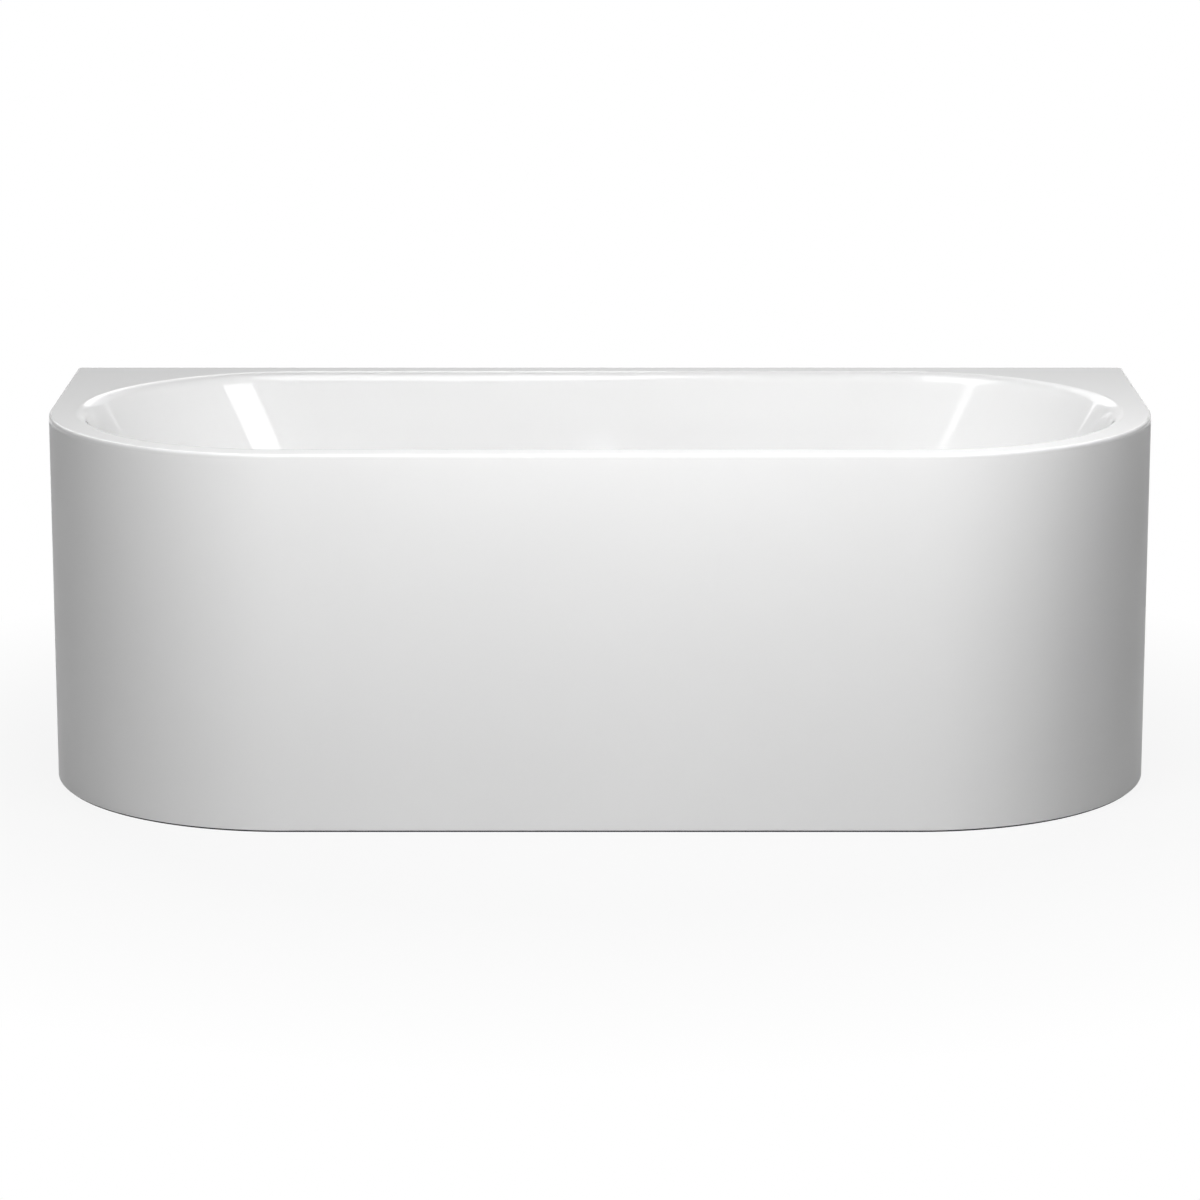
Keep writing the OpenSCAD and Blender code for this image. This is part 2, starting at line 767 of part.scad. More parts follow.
module waste_body() {
    color("lightgray") difference() {
        union() {
            translate([0, 0, waste_z]) cylinder(r = waste_body_r, h = waste_body_h);
            along_y(0, -inlet_reach, inlet_z) cylinder(r = pipe_r, h = inlet_reach);
            translate([0, 0, trap_lift + trap_wall + dip_gap])
                cylinder(r = pipe_r, h = waste_z - trap_lift - trap_wall - dip_gap + cut);
        }
        translate([0, 0, waste_z + waste_body_wall])
            cylinder(r = waste_body_r - waste_body_wall, h = waste_body_h - 2 * waste_body_wall);
        translate([0, 0, waste_top_z - waste_body_wall - cut])
            cylinder(r = neck_r + fixed_fit, h = waste_body_wall + 2 * cut);
        along_y(0, -inlet_reach - cut, inlet_z) cylinder(r = pipe_r - pipe_wall, h = inlet_reach);
        cylinder(r = pipe_r - pipe_wall, h = waste_z + waste_body_wall + cut);
    }
}

// Low dome on an upright edge, turned about the plug's axis
module plug_cap() {
    dome_h = cap_h - cap_edge_h;
    dome_r = (cap_r * cap_r + dome_h * dome_h) / (2 * dome_h);
    dome_angle = asin(cap_r / dome_r);
    dome_steps = 8;
    dome = [for (i = [0 : dome_steps])
        let (a = dome_angle * (1 - i / dome_steps))
        [dome_r * sin(a), cap_h - dome_r * (1 - cos(a))]];
    color("silver") translate([0, 0, cap_z]) difference() {
        rotate_extrude() polygon(concat([[0, 0], [cap_r, 0]], dome));
        translate([0, 0, -cut]) cylinder(r = stem_r, h = cap_h / 2 + cut);
    }
}

module plug_seal() {
    color("dimgray") translate([0, 0, plug_seal_z])
        tube(plug_seal_r, plug_seal_r - neck_r + neck_wall - gasket_margin, plug_seal_t);
}

module plug_stem() {
    color("gainsboro") translate([0, 0, cap_z - stem_len]) cylinder(r = stem_r, h = stem_len + cap_h / 2);
}

module plug_cartridge() {
    color("lightgray") translate([0, 0, cartridge_z]) difference() {
        cylinder(r = cartridge_r, h = cartridge_len);
        translate([0, 0, cartridge_floor]) cylinder(r = stem_r + run_fit, h = cartridge_len);
    }
}

module trap_body() {
    color("whitesmoke") difference() {
        union() {
            translate([0, 0, trap_lift]) cylinder(r = trap_r, h = trap_h);
            along_y(0, 0, outlet_z) cylinder(r = pipe_r, h = trap_reach);
        }
        translate([0, 0, trap_lift + trap_wall]) cylinder(r = trap_r - trap_wall, h = trap_h - 2 * trap_wall);
        translate([0, 0, trap_top_z - trap_wall - cut])
            cylinder(r = pipe_r + fixed_fit, h = trap_wall + 2 * cut);
        translate([0, 0, trap_lift - cut]) cylinder(r = clean_r + fixed_fit, h = trap_wall + 2 * cut);
        along_y(0, trap_r / 2, outlet_z) cylinder(r = pipe_r - pipe_wall, h = trap_reach);
    }
}

module trap_cap() {
    color("gray") {
        translate([0, 0, trap_lift - trap_cap_t]) cylinder(r = trap_cap_r, h = trap_cap_t);
        translate([0, 0, trap_lift]) cylinder(r = clean_r, h = trap_wall);
    }
}

module outlet_pipe() {
    color("whitesmoke") along_y(0, trap_reach, outlet_z) difference() {
        union() {
            cylinder(r = pipe_r, h = outlet_len);
            translate([0, 0, outlet_len - outlet_end_len - outlet_collar_len])
                cylinder(r = outlet_collar_r, h = outlet_collar_len);
        }
        translate([0, 0, -cut]) cylinder(r = pipe_r - pipe_wall, h = outlet_len + 2 * cut);
    }
}

tub_shell();
apron_panel();
base_seal();
panel_frame();
rim_battens();
panel_clips();
batten_screws();
wall_anchors();
base_board();
foot_rails();
rail_screws();
rail_nuts();
lock_nuts();
foot_rod(-1, -1);  // foot_rod_1
foot_rod(1, -1);  // foot_rod_2
foot_rod(-1, 1);  // foot_rod_3
foot_rod(1, 1);  // foot_rod_4
foot_pad(-1, -1);  // foot_pad_1
foot_pad(1, -1);  // foot_pad_2
foot_pad(-1, 1);  // foot_pad_3
foot_pad(1, 1);  // foot_pad_4
overflow_cover();
overflow_screw();
overflow_ring();
overflow_gasket();
overflow_body();
overflow_pipe();
pipe_nuts();
waste_flange();
upper_waste_gasket();
lower_waste_gasket();
waste_body();
plug_cap();
plug_seal();
plug_stem();
plug_cartridge();
trap_body();
trap_cap();
outlet_pipe();
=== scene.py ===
import math
from typing import NamedTuple

import bmesh
import bpy
from bpy.props import FloatProperty, FloatVectorProperty, IntProperty, PointerProperty
from mathutils import Matrix, Vector


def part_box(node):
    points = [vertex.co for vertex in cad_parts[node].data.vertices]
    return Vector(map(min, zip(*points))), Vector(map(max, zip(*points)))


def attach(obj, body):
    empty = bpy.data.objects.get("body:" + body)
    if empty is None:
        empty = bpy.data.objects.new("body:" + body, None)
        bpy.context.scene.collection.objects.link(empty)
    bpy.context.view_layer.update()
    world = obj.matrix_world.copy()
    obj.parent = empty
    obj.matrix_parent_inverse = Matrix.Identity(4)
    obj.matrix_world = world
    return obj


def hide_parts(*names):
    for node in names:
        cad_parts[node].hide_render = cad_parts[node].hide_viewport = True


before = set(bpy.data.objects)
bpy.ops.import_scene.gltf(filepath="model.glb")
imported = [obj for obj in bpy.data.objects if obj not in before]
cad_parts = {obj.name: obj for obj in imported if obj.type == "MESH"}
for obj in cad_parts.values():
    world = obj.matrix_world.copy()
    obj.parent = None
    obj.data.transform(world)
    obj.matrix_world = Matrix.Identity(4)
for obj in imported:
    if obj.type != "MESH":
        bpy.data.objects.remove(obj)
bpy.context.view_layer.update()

bl_info = {
    "name": "Double-ended bathtub",
    "version": (1, 0, 0),
    "blender": (4, 5, 0),
    "location": "View3D > Sidebar > Bathtub",
    "description": "Shell, panel, fittings, finishes, light and camera of a bathtub for one long wall",
    "category": "Object",
}

SHELL_LOW, SHELL_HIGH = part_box("tub_shell")
PANEL_LOW, PANEL_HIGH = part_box("apron_panel")
SEAL_LOW, SEAL_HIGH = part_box("base_seal")
CAP_LOW, CAP_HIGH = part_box("plug_cap")
COVER_LOW, COVER_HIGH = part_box("overflow_cover")

# Corners of a plan: left or right, and at the front or at the wall
QUARTERS = [(side, rear) for side in (-1, 1) for rear in (False, True)]

# How finely the roundings are stepped
FILLET_STEPS = 14
WALL_STEPS = 4
EDGE_STEPS = 14
LIP_STEPS = 5
ROUND_STEPS = 96
DOME_RINGS = 8
DISC_BEVEL_STEPS = 4
SMOOTH_ANGLE = math.radians(32)

# A radius never gets smaller than this where a plan is drawn in
LEAST_RADIUS = 0.0005
# An extra ring this far from a rounding keeps the flat face beside it flat
SUPPORT = 0.0012
# How far a band runs past the wall before it is cut off there
PAST_WALL = 0.02


class BathSizes(bpy.types.PropertyGroup):
    """Sizes of the shell and the panel that the frame's boxes don't give"""

    front_radius: FloatProperty(
        name="Front radius", description="Radius of the two front corners", default=0.375, unit="LENGTH")
    back_radius: FloatProperty(
        name="Back radius", description="Radius of the two corners at the wall", default=0.006, unit="LENGTH")
    rim_end: FloatProperty(
        name="End rim", description="Width of the flat rim at the ends", default=0.041, unit="LENGTH")
    rim_front: FloatProperty(
        name="Front rim", description="Width of the flat rim at the front", default=0.038, unit="LENGTH")
    rim_back: FloatProperty(
        name="Back rim", description="Width of the flat rim on the wall side", default=0.035, unit="LENGTH")
    edge_radius: FloatProperty(
        name="Inner edge", description="Radius between rim and basin", default=0.019, unit="LENGTH")
    lip_radius: FloatProperty(
        name="Outer edge", description="Radius of the rim's outer edge", default=0.004, unit="LENGTH")
    basin_depth: FloatProperty(
        name="Depth", description="Depth of the basin below the rim", default=0.430, unit="LENGTH")
    fillet_radius: FloatProperty(
        name="Floor radius", description="Radius between walls and floor", default=0.090, unit="LENGTH")
    end_slope: FloatProperty(
        name="Backrest lean", description="Lean of the backrests", default=math.radians(28), subtype="ANGLE")
    side_slope: FloatProperty(
        name="Side lean", description="Lean of the long walls", default=math.radians(8), subtype="ANGLE")
    end_flat: FloatProperty(
        name="End flat", description="Half of the straight stretch in each round end", default=0.006,
        unit="LENGTH")
    shell_thickness: FloatProperty(
        name="Shell", description="Thickness of the moulded shell", default=0.005, unit="LENGTH")
    panel_thickness: FloatProperty(
        name="Panel", description="Thickness of the apron panel", default=0.004, unit="LENGTH")
    panel_foot_radius: FloatProperty(
        name="Panel foot", description="Radius of the panel's lower edge", default=0.0015, unit="LENGTH")
    seal_thickness: FloatProperty(
        name="Seal", description="Thickness of the base seal", default=0.004, unit="LENGTH")
    waste_hole: FloatProperty(
        name="Waste hole", description="Radius of the hole in the floor", default=0.026, unit="LENGTH")
    overflow_hole: FloatProperty(
        name="Overflow hole", description="Radius of the hole in the wall", default=0.026, unit="LENGTH")
    cover_thickness: FloatProperty(
        name="Overflow cover", description="Thickness of the overflow's cover", default=0.004, unit="LENGTH")
    corner_steps: IntProperty(
        name="Corner steps", description="Points in a quarter of an outline", default=40, min=8, max=64)


class BathFinishes(bpy.types.PropertyGroup):
    """Colours of the bath and its stage"""

    acrylic: FloatVectorProperty(
        name="Acrylic", description="Colour of shell and panel", subtype="COLOR", size=3,
        default=(0.84, 0.84, 0.84), min=0, max=1)
    rubber: FloatVectorProperty(
        name="Rubber", description="Colour of seals and gaskets", subtype="COLOR", size=3,
        default=(0.035, 0.035, 0.038), min=0, max=1)
    timber: FloatVectorProperty(
        name="Timber", description="Colour of battens and base board", subtype="COLOR", size=3,
        default=(0.52, 0.34, 0.17), min=0, max=1)
    floor: FloatVectorProperty(
        name="Floor", description="Colour of the stage's floor", subtype="COLOR", size=3,
        default=(0.5, 0.5, 0.5), min=0, max=1)


class Outline(NamedTuple):
    """One level of the bath's plan: a box with one radius at the front corners and another at the wall"""

    half_length: float
    front: float
    back: float
    front_radius: float
    rear_radius: float
    z: float

    def corner(self, side, rear):
        """Centre and radius of one corner"""
        radius = self.rear_radius if rear else self.front_radius
        y = self.back - radius if rear else self.front + radius
        return Vector((side * (self.half_length - radius), y, self.z)), radius

    def split_y(self):
        """Between the front and the back corners"""
        return (self.corner(1, False)[0].y + self.corner(1, True)[0].y) / 2


def deselect_everything():
    """Back to object mode with nothing selected"""
    if bpy.context.object and bpy.context.object.mode != "OBJECT":
        bpy.ops.object.mode_set(mode="OBJECT")
    bpy.ops.object.select_all(action="DESELECT")


def select_vertices(piece, indices):
    """These vertices and no others"""
    bpy.ops.mesh.select_mode(type="VERT")
    bpy.ops.mesh.select_all(action="DESELECT")
    mesh = bmesh.from_edit_mesh(piece.data)
    mesh.verts.ensure_lookup_table()
    for index in indices:
        mesh.verts[index].select = True
    bmesh.update_edit_mesh(piece.data)


def select_ring_edges(piece, *rings):
    """Edges that lie in one of the rings"""
    bpy.ops.mesh.select_mode(type="EDGE")
    bpy.ops.mesh.select_all(action="DESELECT")
    mesh = bmesh.from_edit_mesh(piece.data)
    members = [set(ring) for ring in rings]
    for edge in mesh.edges:
        ends = [vertex.index for vertex in edge.verts]
        if any(ends[0] in ring and ends[1] in ring for ring in members):
            edge.select_set(True)
    bmesh.update_edit_mesh(piece.data)


def reshape_ring(piece, ring, old, new):
    """Moves a ring of vertices from one outline to the next, corner by corner"""
    mesh = bmesh.from_edit_mesh(piece.data)
    mesh.verts.ensure_lookup_table()
    places = {index: mesh.verts[index].co.copy() for index in ring}
    split_y = old.split_y()
    for side, rear in QUARTERS:
        corner = [i for i, co in places.items() if co.x * side > 0 and (co.y > split_y) == rear]
        old_centre, old_radius = old.corner(side, rear)
        new_centre, new_radius = new.corner(side, rear)
        scale = new_radius / old_radius
        select_vertices(piece, corner)
        bpy.ops.transform.resize(value=(scale, scale, 1), center_override=old_centre)
        bpy.ops.transform.translate(value=new_centre - old_centre)


def extruded_rings(name, outlines, steps, fill):
    """Starts from a circle and extrudes it through the outlines. Leaves the piece in edit mode."""
    deselect_everything()
    radius = outlines[0].front_radius
    bpy.ops.mesh.primitive_circle_add(vertices=4 * steps, radius=radius, fill_type=fill, location=(0, 0, 0))
    piece = bpy.context.object
    piece.name = name
    piece.data.name = name
    bpy.ops.object.mode_set(mode="EDIT")
    bpy.ops.mesh.select_all(action="SELECT")
    bpy.ops.transform.rotate(value=math.pi / (4 * steps), orient_axis="Z", center_override=(0, 0, 0))
    ring = list(range(4 * steps))
    rings = [ring]
    current = Outline(radius, -radius, radius, radius, radius, 0)
    reshape_ring(piece, ring, current, outlines[0])
    for current, following in zip(outlines, outlines[1:]):
        select_ring_edges(piece, ring)
        bpy.ops.mesh.extrude_edges_indiv()
        mesh = bmesh.from_edit_mesh(piece.data)
        mesh.verts.index_update()
        ring = [vertex.index for vertex in mesh.verts if vertex.select]
        rings.append(ring)
        reshape_ring(piece, ring, current, following)
    return piece, rings


def finish_mesh(piece):
    """Turns the faces outwards, smooths them and returns to object mode"""
    bpy.ops.mesh.select_mode(type="VERT")
    bpy.ops.mesh.select_all(action="SELECT")
    bpy.ops.mesh.normals_make_consistent(inside=False)
    bpy.ops.object.mode_set(mode="OBJECT")
    bpy.ops.object.shade_smooth_by_angle(angle=SMOOTH_ANGLE)


def wall_out(height, radius, slope):
    """How far a face stands out at a height above its foot: first the rounding, then the leaning wall"""
    if height < radius * (1 - math.sin(slope)):
        return math.sqrt(max(0.0, radius ** 2 - (radius - height) ** 2))
    return radius * math.cos(slope) + (height - radius * (1 - math.sin(slope))) * math.tan(slope)


class Basin:
    """The basin's levels, from the same formulas as the frame's shell"""

    def __init__(self, sizes):
        self.sizes = sizes
        self.rim_z = SHELL_HIGH.z
        self.floor_z = self.rim_z - sizes.basin_depth
        self.half_length = SHELL_HIGH.x - sizes.rim_end
        self.half_width = (SHELL_HIGH.y - SHELL_LOW.y - sizes.rim_front - sizes.rim_back) / 2
        self.y = (SHELL_HIGH.y - sizes.rim_back + SHELL_LOW.y + sizes.rim_front) / 2

    def half_at(self, z, half_open, slope, off):
        """Half of the opening at a height, for a face that lies this far behind the basin's own"""
        s = self.sizes
        if z > self.floor_z + s.basin_depth / 2:
            return half_open - wall_out(self.rim_z - off - z, s.edge_radius - off, slope)
        both = s.edge_radius + s.fillet_radius
        foot = half_open - both * math.cos(slope)
        foot -= (s.basin_depth - both * (1 - math.sin(slope))) * math.tan(slope)
        return foot + wall_out(z - self.floor_z + off, s.fillet_radius + off, slope)

    def level(self, z, off=0.0):
        """The basin's plan at a height"""
        half_length = self.half_at(z, self.half_length, self.sizes.end_slope, off)
        half_width = self.half_at(z, self.half_width, self.sizes.side_slope, off)
        radius = half_width - self.sizes.end_flat
        return Outline(half_length, self.y - half_width, self.y + half_width, radius, radius, z)

    def inset(self, outline, amount, z=None):
        """The outline drawn in or, with a negative amount, let out, level by level"""
        return Outline(
            outline.half_length - amount, outline.front + amount, outline.back - amount,
            outline.front_radius - amount, max(outline.rear_radius - amount, LEAST_RADIUS),
            outline.z if z is None else z)


def plan(sizes, inset, z, past=0.0):
    """The bath's outer plan, drawn in from its face and, for a cut, taken past the wall"""
    return Outline(
        SHELL_HIGH.x - inset, SHELL_LOW.y + inset, SHELL_HIGH.y - inset + past,
        sizes.front_radius - inset, max(sizes.back_radius - inset, LEAST_RADIUS), z)


def arc_angles(slope, steps):
    """Angles of a rounding that ends where a wall of that slope begins"""
    return [(math.pi / 2 - slope) * i / steps for i in range(steps + 1)]


def inner_levels(basin, off):
    """Heights of one face of the basin, from the floor to the rim"""
    s = basin.sizes
    fillet = s.fillet_radius + off
    edge = s.edge_radius - off
    low = [basin.floor_z - off + fillet * (1 - math.cos(a)) for a in arc_angles(s.side_slope, FILLET_STEPS)]
    high = [basin.rim_z - off - edge * (1 - math.cos(a)) for a in arc_angles(s.side_slope, EDGE_STEPS)]
    high.reverse()
    between = [low[-1] + (high[0] - low[-1]) * i / WALL_STEPS for i in range(1, WALL_STEPS)]
    return low + between + high


def shell_outlines(sizes):
    """The shell's section from the floor over the rim and the lip and back under the floor"""
    basin = Basin(sizes)
    inner = [basin.level(z) for z in inner_levels(basin, 0.0)]
    outer = [basin.level(z, sizes.shell_thickness) for z in inner_levels(basin, sizes.shell_thickness)]
    outer.reverse()
    lip = [
        plan(sizes, sizes.lip_radius * (1 - math.sin(a)), basin.rim_z - sizes.lip_radius * (1 - math.cos(a)))
        for a in arc_angles(0.0, LIP_STEPS)]
    thickness = sizes.shell_thickness
    under_rim = basin.rim_z - thickness
    return (
        [basin.inset(inner[0], SUPPORT)] + inner
        + [basin.inset(inner[-1], -SUPPORT)]
        + [plan(sizes, sizes.lip_radius + SUPPORT, basin.rim_z)] + lip
        + [plan(sizes, 0.0, PANEL_HIGH.z), plan(sizes, thickness, PANEL_HIGH.z)]
        + [plan(sizes, thickness, under_rim), basin.inset(outer[0], -SUPPORT)]
        + outer)


def band_outlines(sizes, inset, thickness, low, high, foot_radius):
    """The section of an upright band that follows the plan, from its inner foot round its outer face"""
    foot = [
        plan(sizes, inset + foot_radius * (1 - math.sin(a)), low + foot_radius * (1 - math.cos(a)), PAST_WALL)
        for a in arc_angles(0.0, LIP_STEPS)]
    return (
        [plan(sizes, inset + thickness, low, PAST_WALL)] + foot
        + [plan(sizes, inset, high, PAST_WALL), plan(sizes, inset + thickness, high, PAST_WALL)])


def band(name, outlines, steps):
    """A band that is closed round the section and cut off square at the wall"""
    piece, rings = extruded_rings(name, outlines, steps, "NOTHING")
    select_ring_edges(piece, rings[0], rings[-1])
    bpy.ops.mesh.bridge_edge_loops()
    bpy.ops.mesh.select_all(action="SELECT")
    bpy.ops.mesh.bisect(
        plane_co=(0, SHELL_HIGH.y, 0), plane_no=(0, 1, 0), use_fill=True, clear_outer=True)
    finish_mesh(piece)
    return piece


def wall_frame(sizes):
    """Turns +Z to the overflow's axis, which leans with the front wall"""
    return Matrix.Rotation(sizes.side_slope - math.pi / 2, 4, "X")


def cut_round(piece, centre, radius, depth, turn):
    """Cuts a round hole with a cylinder that is then removed"""
    deselect_everything()
    bpy.ops.mesh.primitive_cylinder_add(vertices=ROUND_STEPS, radius=radius, depth=depth, location=(0, 0, 0))
    cutter = bpy.context.object
    cutter.matrix_world = Matrix.Translation(centre) @ turn
    bpy.context.view_layer.update()
    deselect_everything()
    piece.select_set(True)
    bpy.context.view_layer.objects.active = piece
    hole = piece.modifiers.new("hole", "BOOLEAN")
    hole.operation = "DIFFERENCE"
    hole.solver = "EXACT"
    hole.object = cutter
    bpy.ops.object.modifier_apply(modifier=hole.name)
    bpy.data.objects.remove(cutter, do_unlink=True)


def dome_share(ring):
    """Share of the dome's height that is reached at a ring, counted from the rim"""
    return 1 - (1 - ring / DOME_RINGS) ** 2


def domed_disc(name, radius, edge_height, dome_height, bevel, place):
    """A round disc with a bevelled rim and a low dome, placed by a matrix that goes into its mesh"""
    deselect_everything()
    bpy.ops.mesh.primitive_cylinder_add(
        vertices=ROUND_STEPS, radius=radius, depth=edge_height, location=(0, 0, edge_height / 2))
    piece = bpy.context.object
    piece.name = name
    piece.data.name = name
    bpy.ops.object.transform_apply(location=True, rotation=True, scale=True)
    bpy.ops.object.mode_set(mode="EDIT")
    bpy.ops.mesh.select_mode(type="EDGE")
    bpy.ops.mesh.select_all(action="DESELECT")
    mesh = bmesh.from_edit_mesh(piece.data)
    for edge in mesh.edges:
        if len({round(vertex.co.z, 5) for vertex in edge.verts}) == 1:
            edge.select_set(True)
    bmesh.update_edit_mesh(piece.data)
    bpy.ops.mesh.bevel(offset=bevel, segments=DISC_BEVEL_STEPS, affect="EDGES")
    bpy.ops.mesh.select_mode(type="FACE")
    bpy.ops.mesh.select_all(action="DESELECT")
    mesh = bmesh.from_edit_mesh(piece.data)
    top = max(mesh.faces, key=lambda face: face.calc_center_median().z)
    top.select_set(True)
    bmesh.update_edit_mesh(piece.data)
    flat = radius - bevel
    for ring in range(DOME_RINGS):
        rise = dome_share(ring + 1) - dome_share(ring)
        bpy.ops.mesh.inset(thickness=flat / (DOME_RINGS + 1))
        bpy.ops.transform.translate(value=(0, 0, dome_height * rise))
    finish_mesh(piece)
    piece.data.transform(place)
    piece.data.update()
    return piece


def give(piece, material):
    """The piece wears this material alone"""
    piece.data.materials.clear()
    piece.data.materials.append(material)


def settle(piece, body, nodes, material):
    """Says what a finished piece rides on, stands for and is made of"""
    give(piece, material)
    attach(piece, body)
    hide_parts(*nodes)


def grain_group():
    """Shared noise: one value that wanders between a low and a high figure over the surface"""
    name = "surface_grain"
    if name in bpy.data.node_groups:
        return bpy.data.node_groups[name]
    group = bpy.data.node_groups.new(name, "ShaderNodeTree")
    sockets = group.interface
    sockets.new_socket("Vector", in_out="INPUT", socket_type="NodeSocketVector")
    for label, default in (("Scale", 5.0), ("Detail", 3.0), ("Low", 0.0), ("High", 1.0)):
        socket = sockets.new_socket(label, in_out="INPUT", socket_type="NodeSocketFloat")
        socket.default_value = default
    sockets.new_socket("Value", in_out="OUTPUT", socket_type="NodeSocketFloat")
    entry = group.nodes.new("NodeGroupInput")
    out = group.nodes.new("NodeGroupOutput")
    noise = group.nodes.new("ShaderNodeTexNoise")
    spread = group.nodes.new("ShaderNodeMapRange")
    spread.inputs["From Min"].default_value = 0.3
    spread.inputs["From Max"].default_value = 0.7
    group.links.new(entry.outputs["Vector"], noise.inputs["Vector"])
    group.links.new(entry.outputs["Scale"], noise.inputs["Scale"])
    group.links.new(entry.outputs["Detail"], noise.inputs["Detail"])
    group.links.new(noise.outputs["Fac"], spread.inputs["Value"])
    group.links.new(entry.outputs["Low"], spread.inputs["To Min"])
    group.links.new(entry.outputs["High"], spread.inputs["To Max"])
    group.links.new(spread.outputs["Result"], out.inputs["Value"])
    return group


# The Mix node's colour sockets share their names with those for numbers, so they go by their places
MIX_COLOUR_A = 6
MIX_COLOUR_B = 7
MIX_COLOUR_RESULT = 2


class Finish:
    """A material that reads Object coordinates, with helpers for its nodes"""

    def __init__(self, name, metallic=0.0, coat=0.0, coat_roughness=0.03):
        self.material = bpy.data.materials.new(name)
        self.material.use_nodes = True
        self.nodes = self.material.node_tree.nodes
        self.links = self.material.node_tree.links
        self.shader = self.nodes["Principled BSDF"]
        self.shader.inputs["Metallic"].default_value = metallic
        self.shader.inputs["Coat Weight"].default_value = coat
        self.shader.inputs["Coat Roughness"].default_value = coat_roughness
        self.place = self.nodes.new("ShaderNodeTexCoord").outputs["Object"]

    def stretched(self, scale):
        """Object coordinates scaled along each axis, for lines and fibres"""
        mapping = self.nodes.new("ShaderNodeMapping")
        mapping.inputs["Scale"].default_value = scale
        self.links.new(self.place, mapping.inputs["Vector"])
        return mapping.outputs["Vector"]

    def grain(self, scale, low, high, detail=3.0, vector=None):
        """A value that wanders between low and high over the surface"""
        node = self.nodes.new("ShaderNodeGroup")
        node.node_tree = grain_group()
        node.inputs["Scale"].default_value = scale
        node.inputs["Detail"].default_value = detail
        node.inputs["Low"].default_value = low
        node.inputs["High"].default_value = high
        self.links.new(vector or self.place, node.inputs["Vector"])
        return node.outputs["Value"]

    def colours(self, factor, dark, light):
        """Base colour between a dark and a light one"""
        mix = self.nodes.new("ShaderNodeMix")
        mix.data_type = "RGBA"
        mix.inputs[MIX_COLOUR_A].default_value = (*dark, 1)
        mix.inputs[MIX_COLOUR_B].default_value = (*light, 1)
        self.links.new(factor, mix.inputs["Factor"])
        self.links.new(mix.outputs[MIX_COLOUR_RESULT], self.shader.inputs["Base Color"])

    def roughness(self, value):
        """Roughness from a value that changes over the surface"""
        self.links.new(value, self.shader.inputs["Roughness"])

    def bump(self, height, strength, distance):
        """Fine relief from a height"""
        bump = self.nodes.new("ShaderNodeBump")
        bump.inputs["Strength"].default_value = strength
        bump.inputs["Distance"].default_value = distance
        self.links.new(height, bump.inputs["Height"])
        self.links.new(bump.outputs["Normal"], self.shader.inputs["Normal"])


def shade(colour, share):
    """The colour, darker below 1 and lighter above it"""
    return tuple(min(1.0, part * share) for part in colour)


# Cast acrylic is almost even: its colour wanders between these shares
CLOUD_DARK = 0.988
CLOUD_LIGHT = 1.006


def glossy_acrylic(colour):
    """Polished face of the shell"""
    finish = Finish("glossy_acrylic")
    finish.shader.inputs["Specular IOR Level"].default_value = 0.3
    finish.colours(finish.grain(3.0, 0, 1), shade(colour, CLOUD_DARK), shade(colour, CLOUD_LIGHT))
    finish.roughness(finish.grain(9.0, low=0.03, high=0.05))
    finish.bump(finish.grain(160.0, 0, 1, detail=1.0), strength=0.02, distance=0.0001)
    return finish.material


def satin_acrylic(colour):
    """Duller face of the panel"""
    finish = Finish("satin_acrylic")
    finish.shader.inputs["Specular IOR Level"].default_value = 0.15
    finish.colours(finish.grain(2.5, 0, 1), shade(colour, CLOUD_DARK), shade(colour, CLOUD_LIGHT))
    finish.roughness(finish.grain(7.0, low=0.42, high=0.50))
    finish.bump(finish.grain(300.0, 0, 1, detail=2.0), strength=0.05, distance=0.0002)
    return finish.material


def soft_rubber(colour):
    """Dull rubber with a fine grain"""
    finish = Finish("soft_rubber")
    finish.colours(finish.grain(60.0, 0, 1), shade(colour, 0.8), shade(colour, 1.5))
    finish.roughness(finish.grain(45.0, low=0.62, high=0.80))
    finish.bump(finish.grain(900.0, 0, 1), strength=0.2, distance=0.0002)
    return finish.material


def polished_chrome():
    """Bright chrome with faint smears"""
    finish = Finish("polished_chrome", metallic=1.0)
    finish.colours(finish.grain(25.0, 0, 1), (0.74, 0.75, 0.77), (0.82, 0.83, 0.85))
    finish.roughness(finish.grain(70.0, low=0.05, high=0.12))
    finish.bump(finish.grain(200.0, 0, 1), strength=0.02, distance=0.0001)
    return finish.material


def turned_brass():
    """Brass with the lathe's fine rings along Z"""
    finish = Finish("turned_brass", metallic=1.0)
    lines = finish.stretched((1, 1, 30))
    finish.colours(finish.grain(40.0, 0, 1, vector=lines), (0.55, 0.38, 0.14), (0.74, 0.55, 0.24))
    finish.roughness(finish.grain(60.0, low=0.24, high=0.38, vector=lines))
    finish.bump(finish.grain(90.0, 0, 1, vector=lines), strength=0.1, distance=0.0001)
    return finish.material


def galvanised_steel():
    """Zinc spangle: flat patches of slightly different brightness"""
    finish = Finish("galvanised_steel", metallic=1.0)
    cells = finish.nodes.new("ShaderNodeTexVoronoi")
    cells.inputs["Scale"].default_value = 110.0
    finish.links.new(finish.place, cells.inputs["Vector"])
    split = finish.nodes.new("ShaderNodeSeparateColor")
    finish.links.new(cells.outputs["Color"], split.inputs["Color"])
    finish.colours(split.outputs["Red"], (0.42, 0.43, 0.45), (0.60, 0.61, 0.63))
    finish.roughness(finish.grain(80.0, low=0.34, high=0.50))
    finish.bump(split.outputs["Green"], strength=0.05, distance=0.0001)
    return finish.material


FEET = (1, 2, 3, 4)
THREAD_PITCH = 0.0015
# The wave texture's phase grows by this much for each metre and each unit of its scale
PHASE_AT_SCALE_ONE = 20


